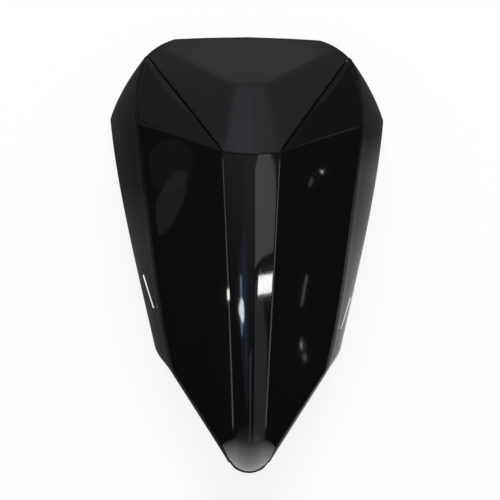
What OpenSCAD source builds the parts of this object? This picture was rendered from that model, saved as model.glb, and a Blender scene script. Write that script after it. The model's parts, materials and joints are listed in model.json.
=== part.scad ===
// Seat cowl: a moulded shell that stands in for the pillion seat, with a faceted bum-stop pad,
// a striker for the seat lock and a tongue that hooks under the tail.
// It rests on its two side rims. X is across, +Y is the rider's side, Z is up.

/* [Cowl] */
// Length from the tail tip to the front edge
cowl_length = 400; // [388:1:412]
// Width over the two shoulders, at the rim
shoulder_width = 253.4; // [244:0.2:262]
// Height of the crest where pad and shell meet
crest_height = 112; // [106:0.5:118]
// Distance from the front edge back to the crest
crest_setback = 145; // [140:1:150]
// Height of the tail's upper face at its tip
tail_height = 23; // [20:0.5:26]
// Depth of the tail's turned-down edge
tail_edge = 9; // [7:0.5:11]
// Half width of the spine at the tail tip
spine_tail = 12.6; // [11:0.2:14]
// Half width of the spine at the crest
spine_crest = 24.3; // [22:0.1:27]
// Wall of the shell
shell_wall = 2.8; // [2.2:0.1:3.2]
// Rounding of the side crease
side_round = 7; // [5:0.5:9]
// Arch of the side rims over the ground
rim_arch = 2.4; // [1:0.2:3.5]

/* [Pad] */
// Wall of the pad
pad_wall = 3; // [2.6:0.1:3.4]
// Gap along the seam between pad and shell
seam_gap = 0.5; // [0.3:0.1:0.8]
// Width of the ledge that the pad's edge sits on
ledge_width = 12; // [9:0.5:14]
// Thickness of that ledge
ledge_wall = 2.5; // [2:0.1:3]
// Height of the pad's front face above its lower edge
pad_peak = 86; // [82:0.5:90]
// Rounding of the pad's edges
pad_round = 4; // [2.5:0.5:5]

/* [Pad screws] */
// Diameter of the pad screws
screw_d = 4; // [3.5:0.1:4.5]
// Length of the pad screws under the head
screw_length = 14; // [12:1:16]
// Head diameter of the pad screws
screw_head = 8; // [7:0.2:9]
// Diameter of the pad's screw posts
post_d = 9; // [8:0.5:10]

/* [Latch] */
// Height of the bracket's upper face above the ground
bracket_height = 60; // [56:0.5:64]
// Thickness of the bracket plate
bracket_plate = 2.5; // [2:0.1:3]
// Bolt spacing across the bracket
bracket_across = 76; // [72:1:80]
// Bolt spacing along the bracket
bracket_along = 48; // [44:1:52]
// Diameter of the striker bar
striker_d = 8; // [7:0.5:9]
// Distance between the striker's legs, centre to centre
striker_span = 46; // [42:1:50]
// Height of the striker's straight bar above the ground, at its centre
striker_height = 20; // [17:0.5:24]
// Bolt diameter of bracket and tongue
bolt_d = 6; // [5:0.5:6.5]

/* [Tail tongue] */
// Height of the tongue plate's upper face
tongue_height = 24; // [22:0.5:26]
// Width of the tongue
tongue_width = 26; // [22:0.5:28]
// Length of the tongue
tongue_length = 66; // [60:1:70]
// Thickness of the tongue plate
tongue_plate = 3; // [2.5:0.1:3.5]

/* [Buffers] */
// Diameter of the rubber buffers
buffer_d = 20; // [18:0.5:22]
// Thickness of the rubber buffers
buffer_height = 8; // [6:0.5:10]
// Thickness of the foam strips inside the side walls
foam_thick = 4; // [3:0.5:5]

/* [Part] */
// The sub-part to build

/* [Hidden] */

half_l = cowl_length / 2;
half_w = shoulder_width / 2;
crest_y = half_l - crest_setback;
rise = crest_height - tail_height;
run = crest_y + half_l - 0.6;
// how strongly the spine's side line leaves the tail (25 degrees) and meets the crest (10 degrees)
tail_pull = tan(25) * run / (3 * rise);
crest_pull = 1 - tan(10) * run / (3 * rise);
// where along the shell the tail's slanted edges end and the side walls begin
v_end = 0.26;

// corner points, right-hand side
pt_a = [spine_crest, crest_y + 3.5, crest_height - 3.4];
pt_c = [half_w * 0.718, half_l - 29, 36];
pt_low = [half_w * 0.645, cowl_length * 0.2675 - half_l, 0];
pt_shoulder = [half_w + 0.65, crest_y + crest_setback * 0.483, 0];

// small helpers
function mix(a, b, t) = a + (b - a) * t;
function unit(v) = v / norm(v);
function bez(a, b, c, d, t) =
    a * pow(1 - t, 3) + 3 * b * t * pow(1 - t, 2) + 3 * c * t * t * (1 - t) + d * pow(t, 3);
function soft(a, b, c, t) = a * pow(1 - t, 2) + 2 * b * t * (1 - t) + c * t * t;
function flip(p) = [-p[0], p[1], p[2]];
function level(p, z) = [p[0], p[1], z];

// rails of the shell, tail (0) to crest (1)
function spine(u) = [0, run * u - half_l + 0.6, tail_height + rise * bez(0, tail_pull, crest_pull, 1, u)];
function spine_edge(u) =
    [mix(spine_tail, spine_crest, pow(max(u, 0), 1.25)), spine(u)[1] + 4 - 0.5 * u, spine(u)[2] - 1 - 2.4 * u];
// height of the flank beside the spine, falling away and bending down a little
function flank_z(x, y) =
    let (u = (y + half_l - 4.6) / (run - 0.5), e = spine_edge(u), d = x - e[0]) e[2] - 0.34 * d - 0.001 * d * d;
function on_flank(p) = [p[0], p[1], flank_z(p[0], p[1])];
pt_b = on_flank([half_w - 28.2, crest_y + 37]);
pt_tail = [spine_tail + 4.4, 10 - half_l];
pt_vee = [half_w * 0.538, cowl_length * 0.22 - half_l];
function crease(u) = on_flank(u <= v_end ? mix(pt_tail, pt_vee, u / v_end) :
    bez(pt_vee, pt_vee + [12.3, 46], [pt_b[0] - 10, pt_b[1] - 72], [pt_b[0], pt_b[1]], (u - v_end) / (1 - v_end)));
function tail_rim(u) = crease(u) + [0.8, -0.6, -tail_edge];
function side_rim(t) =
    bez(pt_low, pt_low + [16.3, 69, 0], pt_shoulder - [7.7, 70, 0], pt_shoulder, t)
    + [0, 0, rim_arch * 4 * t * (1 - t)];
function rim(u) = u <= v_end ? tail_rim(u) :
    let (t = (u - v_end) / (1 - v_end))
    t < 0.07 ? mix(tail_rim(v_end), pt_low, t / 0.07) : side_rim((t - 0.07) / 0.93);

// rails of the wings, crest (0) to front corner (1)
function seam(v) = mix(pt_a, pt_c, v);
function wing_crease(v) = bez(pt_b, pt_b + [1, 26, -12], pt_c + [10.5, -19, 14], pt_c + [3, 1.5, -1], v);
function wing_rim(v) =
    bez(pt_shoulder, pt_shoulder + [-5.7, 18, 4], pt_c + [19, -11, -20], pt_c + [2, 7, -12], v);

// one half cross-section from the spine's edge out: flank, rounded crease, side wall
function settle(p, main) = main ? on_flank(p) : p;
function outer_part(e, k, r, re, main) =
    let (dk = unit(k - e), e2 = settle(e + dk * min(re, 0.15 * norm(k - e)), main),
        rk = min(side_round, 0.3 * norm(k - e), 0.35 * norm(r - k)),
        k0 = settle(k - dk * rk, main), k2 = k + unit(r - k) * rk,
        belly = [0, 0, main ? 0 : 0.02 * norm(k0 - e2)], bow = [0.04 * norm(r - k2), 0, 0])
    [e2, settle(mix(e2, k0, 0.25) + belly * 0.75, main), settle(mix(e2, k0, 0.5) + belly, main),
        settle(mix(e2, k0, 0.75) + belly * 0.75, main),
        k0, soft(k0, k, k2, 0.34), soft(k0, k, k2, 0.67), k2,
        mix(k2, r, 0.34) + bow * 0.9, mix(k2, r, 0.67) + bow * 0.9, r];
function main_section(u) =
    let (s = spine(u), e = spine_edge(u), k = crease(u), r = rim(u), re = 1.8,
        e0 = e + unit(s - e) * re, o = outer_part(e, k, r, re, true))
    concat([s, mix(s, e0, 0.5) + [0, 0, 0.25 * (s[2] - e[2])], e0, soft(e0, e, o[0], 0.5)], o);
function crest_line(t) = mix(spine(1), pt_a, t) + [0, -2.4, 3.2] * t * (1 - t);
function crest_section() =
    concat([crest_line(0), crest_line(0.45), crest_line(0.9), pt_a],
        outer_part(pt_a, pt_b, pt_shoulder, 1.8, true));
function wing_section(v) = concat([seam(v)], outer_part(seam(v), wing_crease(v), wing_rim(v), 1.8, false));

// the shell's grid
u_list = [0.014, 0.045, 0.085, 0.13, 0.18, 0.225, v_end, 0.286, 0.312, 0.35, 0.4, 0.46, 0.53, 0.6, 0.67,
    0.74, 0.81, 0.87, 0.925, 0.965];
v_list = [0.06, 0.13, 0.22, 0.32, 0.43, 0.54, 0.65, 0.76, 0.88, 1];
cols = 14;
seam_col = 3;
crest_row = len(u_list) + 2;
last_row = crest_row + len(v_list);

tip_edge = main_section(0);
tip_rim = let (z = tip_edge[cols][2])
    [for (j = [0:cols]) j <= 10 ? level(tip_edge[j], z) + [0, -0.6, 0] :
        mix(level(tip_edge[10], z) + [0, -0.6, 0], tip_edge[cols], 0.12 * (j - 10)) + [0.08, -0.03, 0] * (j - 10)];
first_sec = main_section(u_list[0]);
tip_soft = [for (j = [0:cols]) j < cols ? 0.2 * mix(tip_edge[j], tip_rim[j], 0.4) + 0.6 * tip_edge[j]
    + 0.2 * first_sec[j] : tip_edge[j]];
crest_sharp = crest_section();
last_main = main_section(u_list[len(u_list) - 1]);
first_wing = wing_section(v_list[0]);
crest_soft = [for (j = [0:cols]) j <= seam_col ? crest_sharp[j] :
    mix(crest_sharp[j], 0.27 * last_main[j] + 0.46 * crest_sharp[j] + 0.27 * first_wing[j - seam_col],
        j == 4 ? 0.4 : 1)];
sections = concat([tip_rim, tip_soft], [for (u = u_list) main_section(u)], [crest_soft],
    [for (v = v_list) wing_section(v)]);

function on_grid(i, j) = i >= 0 && i <= last_row && abs(j) <= cols && (i <= crest_row || abs(j) >= seam_col);
function skin_pt(i, j) =
    let (q = abs(j), p = i <= crest_row ? sections[i][q] : sections[i][q - seam_col]) j < 0 ? flip(p) : p;
function near_pt(i, j, di, dj) = on_grid(i + di, j + dj) ? skin_pt(i + di, j + dj) : skin_pt(i, j);
function rim_way(i, j) = i == 0 ?
    (j == cols ? skin_pt(1, j) : skin_pt(0, j + 1)) - (j == -cols ? skin_pt(1, j) : skin_pt(0, j - 1)) :
    sign(j) * (near_pt(i, j, 1, 0) - near_pt(i, j, -1, 0));
function skin_normal(i, j) = abs(j) == cols || i == 0 ?
    let (w = rim_way(i, j)) unit([w[1], -w[0], 0]) :
    unit(cross(near_pt(i, j, 0, 1) - near_pt(i, j, 0, -1), near_pt(i, j, 1, 0) - near_pt(i, j, -1, 0)));
function on_seam(i, j) = (i == crest_row && abs(j) <= seam_col) || (i > crest_row && abs(j) == seam_col);
function under_pt(i, j, depth) = skin_pt(i, j) - skin_normal(i, j) * depth;
function inner_pt(i, j) = under_pt(i, j, on_seam(i, j) ? ledge_drop + ledge_wall : shell_wall);

// numbering of the grid's points: full rows, then the right wing, then the left wing
row_n = 2 * cols + 1;
wing_n = cols - seam_col + 1;
full_n = (crest_row + 1) * row_n;
skin_n = full_n + 2 * len(v_list) * wing_n;
function id(i, j) = i <= crest_row ? i * row_n + j + cols :
    full_n + (j < 0 ? len(v_list) * wing_n : 0) + (i - crest_row - 1) * wing_n + abs(j) - seam_col;
function two(a, b, c, d) = [[a, b, c], [a, c, d]];
function cell(i, j, o, up) =
    let (a = id(i, j) + o, b = id(i, j + 1) + o, c = id(i + 1, j + 1) + o, d = id(i + 1, j) + o)
    j < 0 ? (up ? two(b, a, d, c) : two(b, c, d, a)) : up ? two(a, d, c, b) : two(a, b, c, d);
cells = [for (i = [0:last_row - 1]) for (j = [-cols:cols - 1])
    if (i < crest_row || j >= seam_col || j < -seam_col) [i, j]];
seam_path = concat([for (i = [last_row:-1:crest_row]) [i, seam_col]],
    [for (j = [seam_col - 1:-1:-seam_col]) [crest_row, j]],
    [for (i = [crest_row + 1:last_row]) [i, -seam_col]]);
rim_path = concat([for (j = [-seam_col:-1:-cols]) [last_row, j]], [for (i = [last_row - 1:-1:0]) [i, -cols]],
    [for (j = [1 - cols:cols]) [0, j]], [for (i = [1:last_row]) [i, cols]],
    [for (j = [cols - 1:-1:seam_col]) [last_row, j]]);

// the pad's rails; the ledge follows the pad's own facets
pt_d = [spine_crest * 0.568, crest_y + crest_setback * 0.4966, pad_peak];
front_z = 19;
function pad_centre(v) = v <= 0.45 ? mix(spine(1), [0, pt_d[1] + 0.8, pad_peak + 0.8], v / 0.45) :
    mix([0, pt_d[1] + 0.8, pad_peak + 0.8], [0, half_l - 4.5, front_z + 7], (v - 0.45) / 0.55);
function pad_ridge(v) = v <= 0.45 ? mix(pt_a - [1.6, 0, 0], pt_d, v / 0.45) :
    mix(pt_d, [half_w * 0.618, half_l - 17, front_z + 12], (v - 0.45) / 0.55);
ledge_gap = 0.8;
ledge_drop = pad_wall + ledge_gap;
seam_dir = unit(pt_c - pt_a);
function side_in(v) = let (w = pad_ridge(max(v, 0.12)) - seam(max(v, 0.12))) unit(w - seam_dir * (w * seam_dir));
function side_up(v) = let (n = unit(cross(seam_dir, side_in(v)))) n[2] < 0 ? -n : n;
crest_in = unit(pad_centre(0.45) - pad_centre(0));
crest_up = unit(cross([1, 0, 0], crest_in));
ridge_in = unit(pt_d - pt_a);
ridge_up = unit(crest_up + side_up(0.12));
function seam_in(i, j) = i > crest_row ? let (b = side_in(v_list[i - crest_row - 1])) j < 0 ? flip(b) : b :
    abs(j) < seam_col ? crest_in : j < 0 ? flip(ridge_in) : ridge_in;
function seam_up(i, j) = i > crest_row ? let (b = side_up(v_list[i - crest_row - 1])) j < 0 ? flip(b) : b :
    abs(j) < seam_col ? crest_up : j < 0 ? flip(ridge_up) : ridge_up;
function ledge_reach(i, j) = i > crest_row ? min(ledge_width, ledge_width * 0.9 * (i - crest_row) * 0.5) :
    abs(j) == seam_col ? ledge_width * 0.5 : ledge_width;
function ledge_pts(i, j) = let (foot = skin_pt(i, j) - seam_up(i, j) * ledge_drop,
    tip = foot + seam_in(i, j) * ledge_reach(i, j)) [foot, tip, tip - seam_up(i, j) * ledge_wall];

// the shell's skin with its stepped ledge, one closed body
module skin() {
    ns = len(seam_path);
    nr = len(rim_path);
    base = 2 * skin_n;
    function chain(k) = let (s = seam_path[k], o = id(s[0], s[1]))
        [o, base + 3 * k, base + 3 * k + 1, base + 3 * k + 2, o + skin_n];
    grid = concat([for (i = [0:crest_row]) for (j = [-cols:cols]) [i, j]],
        [for (i = [crest_row + 1:last_row]) for (j = [seam_col:cols]) [i, j]],
        [for (i = [crest_row + 1:last_row]) for (j = [seam_col:cols]) [i, -j]]);
    points = concat([for (g = grid) skin_pt(g[0], g[1])], [for (g = grid) inner_pt(g[0], g[1])],
        [for (s = seam_path) each ledge_pts(s[0], s[1])]);
    faces = concat([for (c = cells) each cell(c[0], c[1], 0, true)],
        [for (c = cells) each cell(c[0], c[1], skin_n, false)],
        [for (k = [0:nr - 2])
            let (p = rim_path[k], q = rim_path[k + 1], a = id(p[0], p[1]), b = id(q[0], q[1]))
                each two(a, b, b + skin_n, a + skin_n)],
        [for (k = [0:ns - 2]) for (m = [0:3]) let (a = chain(k), b = chain(k + 1))
            each two(a[m], b[m], b[m + 1], a[m + 1])],
        [for (m = [1:3]) let (a = chain(0)) [a[0], a[m], a[m + 1]]],
        [for (m = [1:3]) let (a = chain(ns - 1)) [a[0], a[m + 1], a[m]]]);
    polyhedron(points, faces, convexity = 8);
}

// the room under the shell's skin, down to a level: what stands inside is trimmed by it
module room_under_skin(floor_z) {
    jl = 8;
    first = 2;
    rows = crest_row - first;
    w = 2 * jl + 1;
    n = (rows + 1) * w;
    function k(i, j) = i * w + j + jl;
    top = [for (i = [first:crest_row]) for (j = [-jl:jl]) under_pt(i, j, shell_wall * 0.5)];
    points = concat(top, [for (p = top) level(p, floor_z)]);
    loop = concat([for (j = [-jl:jl]) k(0, j)], [for (i = [1:rows]) k(i, jl)],
        [for (j = [jl - 1:-1:-jl]) k(rows, j)], [for (i = [rows - 1:-1:1]) k(i, -jl)]);
    faces = concat([for (i = [0:rows - 1]) for (j = [-jl:jl - 1])
            each two(k(i, j), k(i + 1, j), k(i + 1, j + 1), k(i, j + 1))],
        [[for (q = loop) q + n]],
        [for (m = [0:len(loop) - 1]) let (a = loop[m], b = loop[(m + 1) % len(loop)]) each two(a, b, b + n, a + n)]);
    polyhedron(points, faces, convexity = 8);
}

// the pad's grid
pad_v = [0.06, 0.13, 0.22, 0.32, 0.41, 0.45, 0.49, 0.58, 0.68, 0.78, 0.88, 1];
pad_cols = 8;
side_row = len(pad_v);
pad_last = side_row + 3;
pad_edge_t = [0, 0.28, 0.56, 0.8, 0.9, 0.94, 0.97, 0.985, 1];
function pad_section(v) =
    let (c = pad_centre(v), g = pad_ridge(v), s = seam(v) + side_in(v) * seam_gap,
        r = min(pad_round, 0.3 * norm(g - c), 0.3 * norm(s - g)),
        g0 = g + unit(c - g) * r, g2 = g + unit(s - g) * r)
    [c, mix(c, g0, 0.3), mix(c, g0, 0.6), mix(c, g0, 0.88), g0, soft(g0, g, g2, 0.5), g2, mix(g2, s, 0.5), s];
pad_crest = [for (j = [0:pad_cols]) crest_line(pad_edge_t[j])
    + (j < pad_cols ? crest_in : ridge_in * 1.2) * seam_gap];
function corner(f, s, t) = mix(f, s, t) + [7, 7, 0] * t * (1 - t);
pad_low = let (c = [0, half_l + 1.34, front_z], f = [half_w * 0.565, half_l - 0.6, front_z + 1],
        s = pt_c + [-0.6, 11, -10])
    [c, mix(c, f, 0.36) + [0, 0.6, 0], mix(c, f, 0.7) + [0, 0.7, 0], f, corner(f, s, 0.3), corner(f, s, 0.45),
        corner(f, s, 0.58), corner(f, s, 0.78), s];
pad_under = [for (p = pad_low) p + [-p[0] * 0.012, -1.5, -6]];
pad_front = pad_section(1);
pad_plain = [for (v = pad_v) pad_section(v)];
peak = 5;
pad_rows = concat([pad_crest],
    [for (i = [0:side_row - 1]) i == peak ?
        [for (j = [0:pad_cols]) j == 7 || j == 8 ? pad_plain[i][j] :
            0.25 * pad_plain[i - 1][j] + 0.5 * pad_plain[i][j] + 0.25 * pad_plain[i + 1][j]] : pad_plain[i]],
    [for (t = [0.34, 0.67]) [for (j = [0:pad_cols]) soft(pad_front[j], pad_low[j], pad_under[j], t)]],
    [pad_under]);
function pad_pt(i, j) = let (p = pad_rows[i][abs(j)]) j < 0 ? flip(p) : p;
function pad_near(i, j) = pad_pt(min(max(i, 0), pad_last), min(max(j, -pad_cols), pad_cols));
function pad_normal(i, j) =
    let (n = unit(cross(pad_near(i, j + 1) - pad_near(i, j - 1), pad_near(i + 1, j) - pad_near(i - 1, j))))
    i == pad_last ? unit(level(n, 0)) : n;
function pad_deep(i, j, depth) =
    i == 0 ? pad_pt(i, j) - (abs(j) == pad_cols ? (j < 0 ? flip(ridge_up) : ridge_up) : crest_up) * depth :
    abs(j) == pad_cols && i <= side_row ?
        pad_pt(i, j) - (j < 0 ? flip(side_up(pad_v[i - 1])) : side_up(pad_v[i - 1])) * depth :
    pad_pt(i, j) - pad_normal(i, j) * depth;

// closes two grids of the same size, upper and lower, into one body
module sheet(upper, lower, w) {
    n = len(upper);
    h = n / w;
    m = floor((w - 1) / 2);
    loop = concat([for (j = [0:w - 1]) j], [for (i = [1:h - 1]) i * w + w - 1],
        [for (j = [w - 2:-1:0]) (h - 1) * w + j], [for (i = [h - 2:-1:1]) i * w]);
    function q(i, j, o, up) =
        let (a = i * w + j + o, b = a + 1, d = a + w, c = d + 1)
        j < m ? (up ? two(b, a, d, c) : two(b, c, d, a)) : up ? two(a, d, c, b) : two(a, b, c, d);
    faces = concat([for (i = [0:h - 2]) for (j = [0:w - 2]) each q(i, j, 0, true)],
        [for (i = [0:h - 2]) for (j = [0:w - 2]) each q(i, j, n, false)],
        [for (k = [0:len(loop) - 1]) let (a = loop[k], b = loop[(k + 1) % len(loop)]) each two(a, b, b + n, a + n)]);
    polyhedron(concat(upper, lower), faces, convexity = 8);
}
module pad_skin() sheet([for (i = [0:pad_last]) for (j = [-pad_cols:pad_cols]) pad_pt(i, j)],
    [for (i = [0:pad_last]) for (j = [-pad_cols:pad_cols]) pad_deep(i, j, pad_wall)], 2 * pad_cols + 1);
// the room under the pad at a given depth below its face
module room_under_pad(depth, floor_z) {
    top = [for (i = [0:side_row]) for (j = [-pad_cols:pad_cols]) pad_deep(i, j, depth)];
    sheet(top, [for (p = top) level(p, floor_z)], 2 * pad_cols + 1);
}

// where things stand
latch_y = crest_y - 7 - bracket_along / 2;
bracket_spots = [for (x = [-1, 1]) for (y = [-1, 1]) [x * bracket_across / 2, latch_y + y * bracket_along / 2]];
tongue_y = cowl_length * 0.24 - half_l;
tongue_bolts_y = [-10, -34];
tongue_spots = [for (y = tongue_bolts_y) [0, tongue_y + y]];
front_buffer = [half_w * 0.6156, crest_y + 13];
rear_buffer = [half_w * 0.4578, crest_y + 13 - run * 0.511];
buffer_spots = [for (b = [front_buffer, rear_buffer]) for (x = [-1, 1]) [x * b[0], b[1]]];
buffer_seat = 34;
insert_d = bolt_d + 2;
insert_length = 10;
washer_thick = 1.6;
rear_lug = [13, crest_y + 24, crest_height - 25];
front_lug = [half_w * 0.4262, half_l - crest_setback * 0.3655, pad_peak - 43];
lug_plate = 3;
pad_washer = 1;

lug_spots = [flip(rear_lug), rear_lug, flip(front_lug), front_lug];
module both_sides() {
    children();
    mirror([1, 0, 0]) children();
}
module hole(d, h) translate([0, 0, -0.5]) cylinder(d = d, h = h + 0.5, $fn = 48);

// shell
module shell_inside() {
    for (s = bracket_spots) translate([s[0], s[1], bracket_height]) cylinder(d = insert_d + 7, h = crest_height, $fn = 48);
    for (s = tongue_spots) translate([s[0], s[1], tongue_height]) cylinder(d = insert_d + 7, h = crest_height, $fn = 48);
    for (s = buffer_spots) translate([s[0], s[1], buffer_seat]) cylinder(d = 14, h = crest_height, $fn = 48);
    // stiffening ribs
    for (y = [-1, 1])
        translate([-bracket_across / 2, latch_y + y * bracket_along / 2 - 1.1, bracket_height + 12 + 4 * y])
            cube([bracket_across, 2.2, crest_height]);
    both_sides() {
        translate([bracket_across / 2 - 1.1, latch_y - bracket_along / 2, bracket_height + 10])
            cube([2.2, bracket_along, crest_height]);
        translate([rear_buffer[0], rear_buffer[1] - 1.1, buffer_seat + 10]) cube([15, 2.2, crest_height]);
        translate([front_buffer[0], front_buffer[1] - 1.1, buffer_seat + 22]) cube([12, 2.2, crest_height]);
    }
    translate([-1.1, tongue_spots[1][1], tongue_height + 13]) cube([2.2, 32, crest_height]);
}
module shell_lugs() {
    both_sides() {
        translate([rear_lug[0] - 9, crest_y + 6, rear_lug[2] - lug_plate]) cube([18, 27, lug_plate]);
        for (x = [-8.7, 6.6])
            translate([rear_lug[0] + x, crest_y + 4.2, rear_lug[2] - lug_plate]) cube([2, 14, crest_height]);
        translate([front_lug[0] - 8, front_lug[1] - 10, front_lug[2] - lug_plate]) cube([30, 20, lug_plate]);
        for (y = [-10, 8])
            translate([front_lug[0] + 8, front_lug[1] + y, front_lug[2] - lug_plate]) cube([32, 2, crest_height]);
    }
}
module cowl_shell() color("#131315") difference() {
    union() {
        skin();
        intersection() {
            shell_inside();
            room_under_skin(5);
        }
        intersection() {
            shell_lugs();
            room_under_pad(ledge_drop + 0.5, 5);
        }
    }
    for (s = bracket_spots) translate([s[0], s[1], bracket_height]) hole(insert_d, insert_length + 2);
    for (s = tongue_spots) translate([s[0], s[1], tongue_height]) hole(insert_d, insert_length + 2);
    for (s = buffer_spots) translate([s[0], s[1], buffer_seat]) hole(8, 12);
    for (s = lug_spots) translate([s[0], s[1], s[2] - lug_plate]) hole(screw_d + 0.6, lug_plate + 0.5);
}

// pad and its screws
module bumstop_pad() color("#2b2c2e") difference() {
    union() {
        pad_skin();
        intersection() {
            for (s = lug_spots) translate(s) cylinder(d = post_d, h = crest_height, $fn = 48);
            room_under_pad(pad_wall * 0.5, 5);
        }
    }
    for (s = lug_spots) translate(s) hole(screw_d, screw_length - lug_plate - pad_washer + 1);
}
module pad_screws() color("#a5a7aa") for (s = lug_spots)
    translate([s[0], s[1], s[2] - lug_plate - pad_washer]) {
        cylinder(d = screw_d, h = screw_length, $fn = 48);
        difference() {
            translate([0, 0, -3]) {
                cylinder(d = screw_head, h = 3, $fn = 48);
                translate([0, 0, -0.6]) cylinder(d1 = screw_head - 2, d2 = screw_head, h = 0.6, $fn = 48);
            }
            translate([0, 0, -4]) cylinder(d = screw_head * 0.45, h = 2.4, $fn = 6);
        }
    }
module ring(d, bore, h) difference() {
    cylinder(d = d, h = h, $fn = 48);
    translate([0, 0, -1]) cylinder(d = bore, h = h + 2, $fn = 48);
}
module pad_washers() color("#c3c5c8") for (s = lug_spots)
    translate([s[0], s[1], s[2] - lug_plate - pad_washer]) ring(screw_head + 2, screw_d + 0.3, pad_washer);

// latch
module rounded_plate(w, l, r) {
    square([w, l - 2 * r], center = true);
    square([w - 2 * r, l], center = true);
    for (x = [-1, 1]) for (y = [-1, 1]) translate([x * (w / 2 - r), y * (l / 2 - r)]) circle(r, $fn = 48);
}
module latch_bracket() color("#8d9094") translate([0, latch_y, bracket_height - bracket_plate]) {
    long = bracket_along + 20;
    difference() {
        linear_extrude(bracket_plate) rounded_plate(bracket_across + 20, long, 6);
        for (x = [-1, 1]) for (y = [-1, 1])
            translate([x * bracket_across / 2, y * bracket_along / 2, -1])
                cylinder(d = bolt_d + 0.6, h = bracket_plate + 2, $fn = 48);
        for (y = [-1, 1])
            translate([0, y * (long / 2 - 19), -1]) cylinder(d = 12, h = bracket_plate + 2, $fn = 48);
        translate([0, 0, -1]) linear_extrude(bracket_plate + 2) rounded_plate(24, 12, 5.9);
    }
}
module weld(d) rotate_extrude($fn = 48) polygon([[d / 2, 0], [d / 2 + 3, 0], [d / 2, -3]]);
module latch_striker() color("#c9ccd0") translate([0, latch_y, 0]) {
    bend = striker_d * 1.25;
    half = striker_span / 2;
    top = bracket_height - bracket_plate;
    both_sides() {
        translate([half, 0, striker_height + bend])
            cylinder(d = striker_d, h = top - striker_height - bend, $fn = 48);
        translate([half, 0, top]) weld(striker_d);
        translate([half - bend, 0, striker_height + bend]) rotate([90, 0, 0]) rotate([0, 0, -90])
            rotate_extrude(angle = 90, $fn = 48) translate([bend, 0]) circle(d = striker_d, $fn = 48);
    }
    translate([bend - half, 0, striker_height]) rotate([0, 90, 0])
        cylinder(d = striker_d, h = striker_span - 2 * bend, $fn = 48);
}
module inserts(spots, z) for (s = spots) translate([s[0], s[1], z]) ring(insert_d, bolt_d + 0.1, insert_length);
module bolts(spots, z, plate) for (s = spots) translate([s[0], s[1], z - plate - washer_thick]) {
    cylinder(d = bolt_d, h = plate + washer_thick + insert_length - 1, $fn = 48);
    translate([0, 0, -bolt_d * 0.67]) cylinder(d = bolt_d * 1.92, h = bolt_d * 0.67, $fn = 6);
}
module washers(spots, z, plate) for (s = spots) translate([s[0], s[1], z - plate - washer_thick])
    ring(bolt_d * 2 + 1, bolt_d + 0.4, washer_thick);

// tail tongue
module tail_tongue() color("#8d9094") translate([0, tongue_y, tongue_height - tongue_plate]) difference() {
    union() {
        translate([-tongue_width / 2, tongue_width / 2 - tongue_length, 0])
            cube([tongue_width, tongue_length - tongue_width / 2, tongue_plate]);
        translate([0, tongue_width / 2 - tongue_length, 0]) cylinder(d = tongue_width, h = tongue_plate, $fn = 64);
    }
    for (y = tongue_bolts_y) translate([0, y, -1]) cylinder(d = bolt_d + 0.6, h = tongue_plate + 2, $fn = 48);
}

// rubber and foam
module buffer(k) color("#1b1b1b") translate([buffer_spots[k][0], buffer_spots[k][1], buffer_seat])
    rotate_extrude($fn = 64) polygon([[0, -buffer_height], [buffer_d / 2 - 2, -buffer_height],
        [buffer_d / 2, 2 - buffer_height], [buffer_d / 2, 0], [4, 0], [4, 10], [0, 10]]);
foam_rows = [13:19];
module foam_strip() color("#3a3a3c") {
    face = [for (i = foam_rows) for (j = [12, 13]) inner_pt(i, j)];
    back = [for (i = foam_rows) for (j = [12, 13]) inner_pt(i, j) - skin_normal(i, j) * foam_thick];
    sheet(face, back, 2);
}

cowl_shell();
bumstop_pad();
pad_screws();
pad_washers();
latch_bracket();
latch_striker();
color("#b8963e") inserts(bracket_spots, bracket_height);  // bracket_inserts
color("#a5a7aa") bolts(bracket_spots, bracket_height, bracket_plate);  // bracket_bolts
color("#c3c5c8") washers(bracket_spots, bracket_height, bracket_plate);  // bracket_washers
tail_tongue();
color("#b8963e") inserts(tongue_spots, tongue_height);  // tongue_inserts
color("#a5a7aa") bolts(tongue_spots, tongue_height, tongue_plate);  // tongue_bolts
color("#c3c5c8") washers(tongue_spots, tongue_height, tongue_plate);  // tongue_washers
buffer(0);  // buffer_front_left
buffer(1);  // buffer_front_right
buffer(2);  // buffer_rear_left
buffer(3);  // buffer_rear_right
mirror([1, 0, 0]) foam_strip();  // foam_strip_left
foam_strip();  // foam_strip_right
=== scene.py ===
import bpy
import json
import math
import numpy as np
from mathutils import Matrix, Vector
from mathutils.bvhtree import BVHTree


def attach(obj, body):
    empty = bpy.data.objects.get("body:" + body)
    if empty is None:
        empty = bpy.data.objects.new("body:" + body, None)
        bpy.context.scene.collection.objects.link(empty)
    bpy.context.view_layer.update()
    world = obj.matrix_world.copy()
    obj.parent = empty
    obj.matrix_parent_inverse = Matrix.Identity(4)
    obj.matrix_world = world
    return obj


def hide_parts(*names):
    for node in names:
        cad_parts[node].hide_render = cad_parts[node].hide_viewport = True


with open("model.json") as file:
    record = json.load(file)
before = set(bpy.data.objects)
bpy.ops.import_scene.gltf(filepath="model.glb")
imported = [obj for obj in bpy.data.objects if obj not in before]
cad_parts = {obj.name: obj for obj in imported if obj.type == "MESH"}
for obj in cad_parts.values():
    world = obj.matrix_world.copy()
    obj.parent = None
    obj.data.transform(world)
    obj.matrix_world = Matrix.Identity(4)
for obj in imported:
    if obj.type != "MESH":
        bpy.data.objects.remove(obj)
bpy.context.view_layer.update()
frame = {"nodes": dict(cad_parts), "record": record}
nodes = frame["nodes"]
print("frame loaded")

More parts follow.
